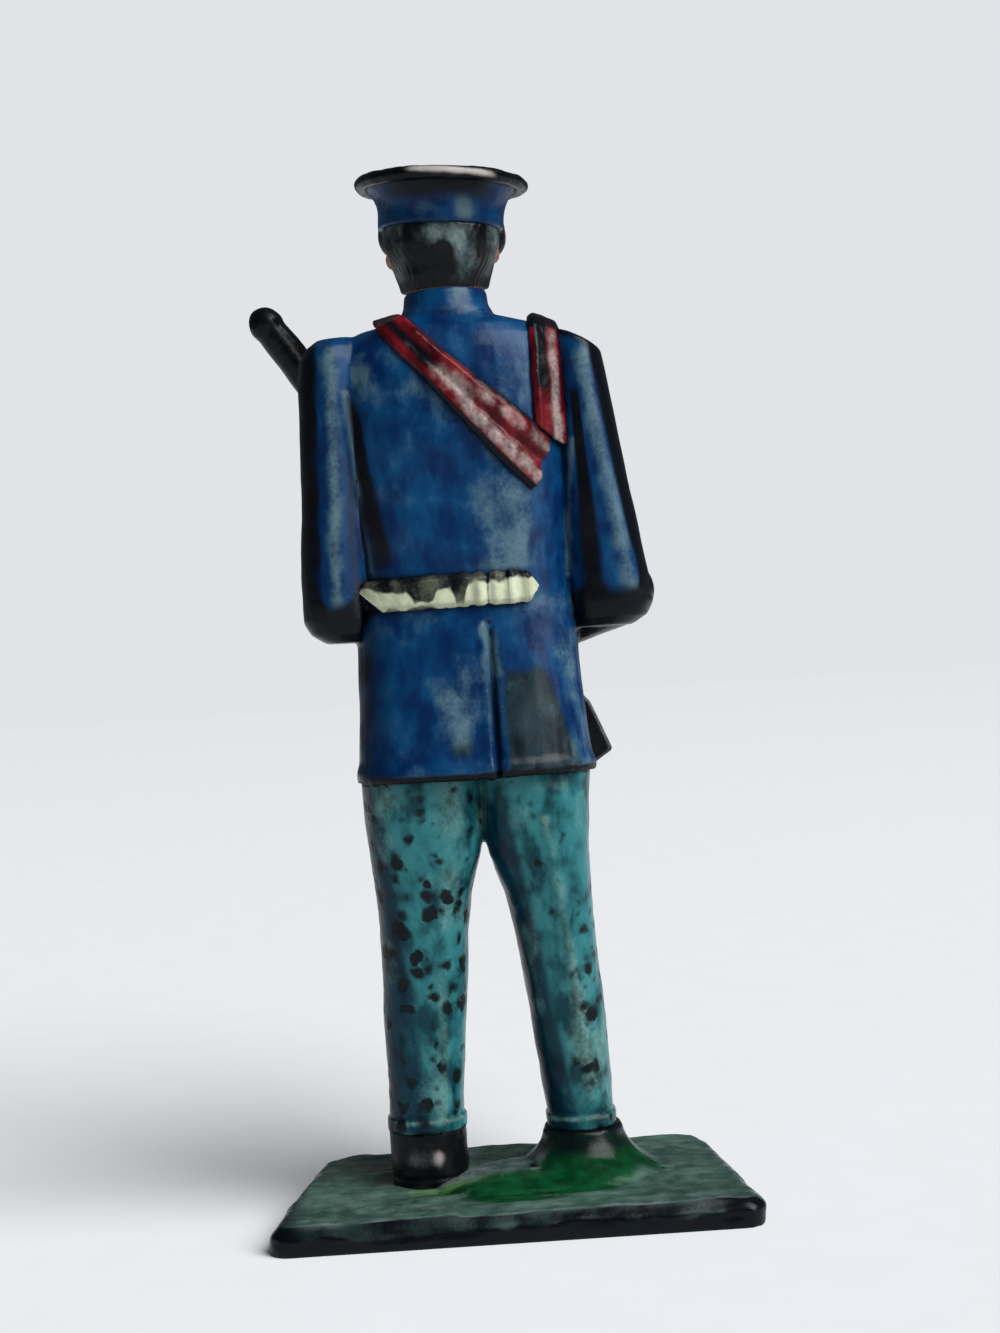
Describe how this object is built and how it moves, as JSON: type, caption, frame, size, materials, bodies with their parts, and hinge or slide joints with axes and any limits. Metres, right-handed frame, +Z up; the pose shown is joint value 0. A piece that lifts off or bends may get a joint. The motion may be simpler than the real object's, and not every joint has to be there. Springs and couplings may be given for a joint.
{
  "type": "toy soldier figure",
  "caption": "Painted cast-metal toy soldier on a ground plate, in a peaked cap and belted coat, holding a rifle across the chest.",
  "frame": {"origin": "point on the underside of the ground plate, below the middle of the figure", "axes": "+Z up, +Y the way the figure faces, +X towards the figure's right side"},
  "size_m": [0.0356, 0.021, 0.0789],
  "materials": {
    "green_enamel": "gloss, worn",
    "black_enamel": "gloss, worn",
    "teal_enamel": "gloss, chipped",
    "blue_enamel": "gloss, worn",
    "flesh_enamel": "satin, worn",
    "red_enamel": "gloss, worn",
    "cream_enamel": "satin, chipped",
    "gilt_enamel": "satin, worn"
  },
  "bodies": {
    "root": {"base_plate": "green_enamel", "left_boot": "black_enamel", "right_boot": "black_enamel", "left_trouser_leg": "teal_enamel", "right_trouser_leg": "teal_enamel", "coat_skirt": "blue_enamel", "coat_body": "blue_enamel", "coat_collar": "blue_enamel", "left_sleeve": "blue_enamel", "right_sleeve": "blue_enamel", "left_hand": "flesh_enamel", "right_hand": "flesh_enamel", "bandolier": "red_enamel", "shoulder_strap": "red_enamel", "belt_back": "cream_enamel", "belt_front": "cream_enamel", "belt_plate": "gilt_enamel", "coat_buttons": "gilt_enamel", "head": "flesh_enamel", "cap_band": "blue_enamel", "cap_crown": "blue_enamel", "cap_rim": "black_enamel", "cap_visor": "black_enamel", "chin_strap": "black_enamel", "cap_badge": "gilt_enamel", "rifle_stock": "black_enamel", "rifle_barrel": "black_enamel"}
  },
  "joints": []
}
